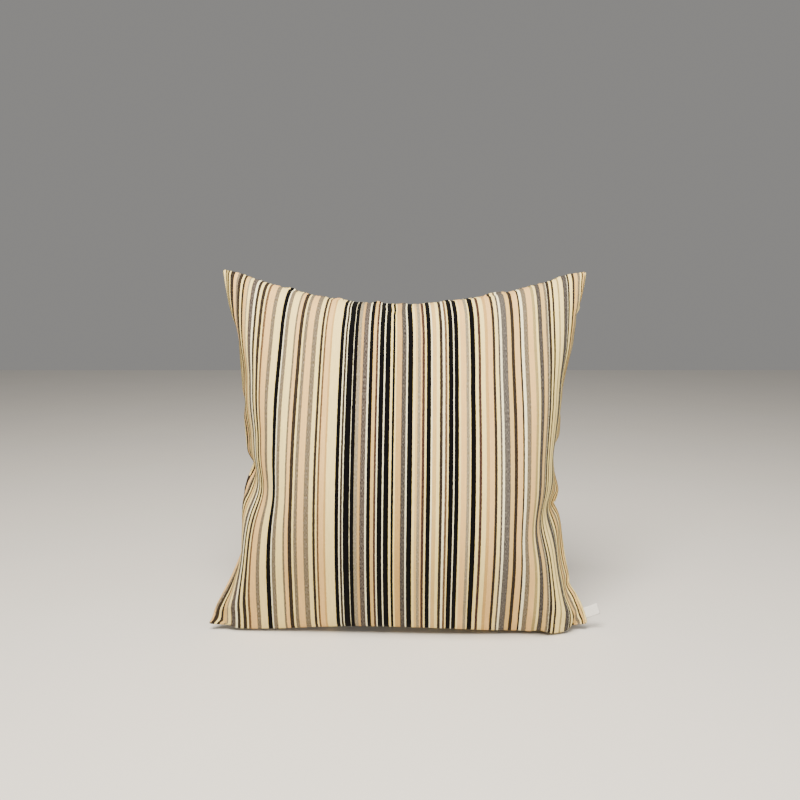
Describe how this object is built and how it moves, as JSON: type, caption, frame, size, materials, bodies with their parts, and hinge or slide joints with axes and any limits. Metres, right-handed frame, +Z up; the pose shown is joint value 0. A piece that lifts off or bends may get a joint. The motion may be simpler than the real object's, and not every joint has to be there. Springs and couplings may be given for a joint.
{
  "type": "throw pillow",
  "caption": "Square knife-edge throw pillow standing on its bottom edge: striped two-panel cover, concealed zip in the bottom seam, casing and fibre filling.",
  "frame": {"origin": "on the surface the pillow stands on, under the middle of its box", "axes": "+Z up, -Y the striped front face, +X to the right of someone facing the front"},
  "size_m": [0.452, 0.182, 0.4381],
  "materials": {
    "striped_cloth": "matte",
    "sewing_thread": "matte",
    "label_satin": "satin",
    "zip_tape": "matte",
    "zip_tooth": "satin",
    "zip_thread": "matte",
    "zip_metal": "satin",
    "casing_cotton": "matte",
    "casing_thread": "matte",
    "fibre": "matte"
  },
  "bodies": {
    "pillow": {"cover_front": "striped_cloth", "cover_back": "striped_cloth", "seam_thread_top": "sewing_thread", "seam_thread_left": "sewing_thread", "seam_thread_right": "sewing_thread", "seam_thread_bottom_left": "sewing_thread", "seam_thread_bottom_right": "sewing_thread", "care_label": "label_satin", "zip_tape_front": "zip_tape", "zip_tape_back": "zip_tape", "zip_teeth_front": "zip_tooth", "zip_teeth_back": "zip_tooth", "zip_stitching_front": "zip_thread", "zip_stitching_back": "zip_thread", "zip_bottom_stop": "zip_metal", "zip_top_stop_front": "zip_metal", "zip_top_stop_back": "zip_metal", "insert_casing_front": "casing_cotton", "insert_casing_back": "casing_cotton", "insert_seam_thread": "casing_thread", "insert_label": "label_satin", "filling": "fibre"},
    "slider": {"zip_slider": "zip_metal"},
    "pull": {"zip_pull": "zip_metal"}
  },
  "joints": [
    {"name": "zip_slide", "type": "slide", "parent": "pillow", "child": "slider", "axis": [-1, 0, 0], "range_m": [0, 0.308]},
    {"name": "pull_hinge", "type": "hinge", "parent": "slider", "child": "pull", "pos_m": [0.1545, -0.00781, 0.00985], "axis": [0, -1, 0], "range_deg": [-28, 150]}
  ]
}
